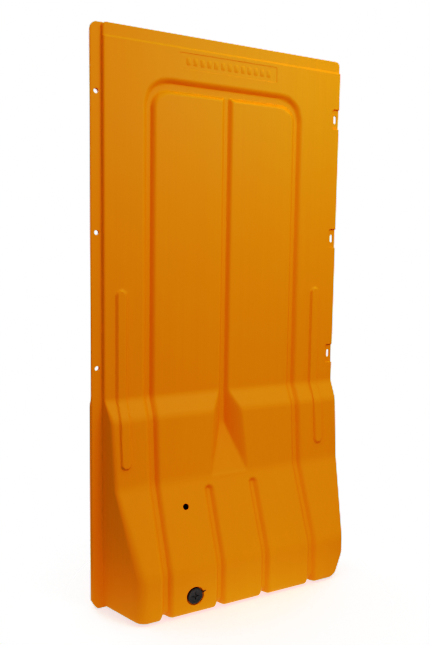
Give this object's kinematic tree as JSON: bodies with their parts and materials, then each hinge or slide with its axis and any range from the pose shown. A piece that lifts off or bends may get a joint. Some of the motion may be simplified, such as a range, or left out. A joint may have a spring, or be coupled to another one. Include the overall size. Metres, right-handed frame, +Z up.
{
  "type": "water filled barrier",
  "caption": "Tall hollow plastic road barrier panel on a sloped water-ballast foot, with shiplap edges, bolt holes for linking, a fill hole and a screw drain plug.",
  "frame": {"origin": "centre of the bounding box at floor level, midway between the foot's front and the rear of the base", "axes": "+Z up, the front with the foot and drain plug faces -Y, +X to the right seen from the front, towards the lip with the bolt pockets"},
  "size_m": [1, 0.22, 2],
  "materials": {
    "moulding": "satin orange polyethylene with fine vertical draw lines",
    "bush": "black moulded plastic",
    "seal": "black rubber",
    "plug": "black moulded plastic, slightly glossy"
  },
  "bodies": {
    "barrier": {"front_skin": "moulding", "rear_skin": "moulding", "drain_bush": "bush"},
    "drain_seal": {"drain_seal": "seal"},
    "drain_plug": {"drain_plug": "plug"}
  },
  "joints": [
    {"name": "drain_plug_travel", "type": "slide", "parent": "barrier", "child": "drain_seal", "axis": [0, -1, 0], "range_m": [0, 0.0201]},
    {"name": "drain_plug_turn", "type": "hinge", "parent": "drain_seal", "child": "drain_plug", "pos_m": [-0.19, -0.11, 0.0695], "axis": [0, -1, 0], "range_deg": [0, 1440]}
  ],
  "couplings": [
    {"joint": "drain_plug_travel", "follows": "drain_plug_turn", "m_per_rad": 0.00079577}
  ]
}
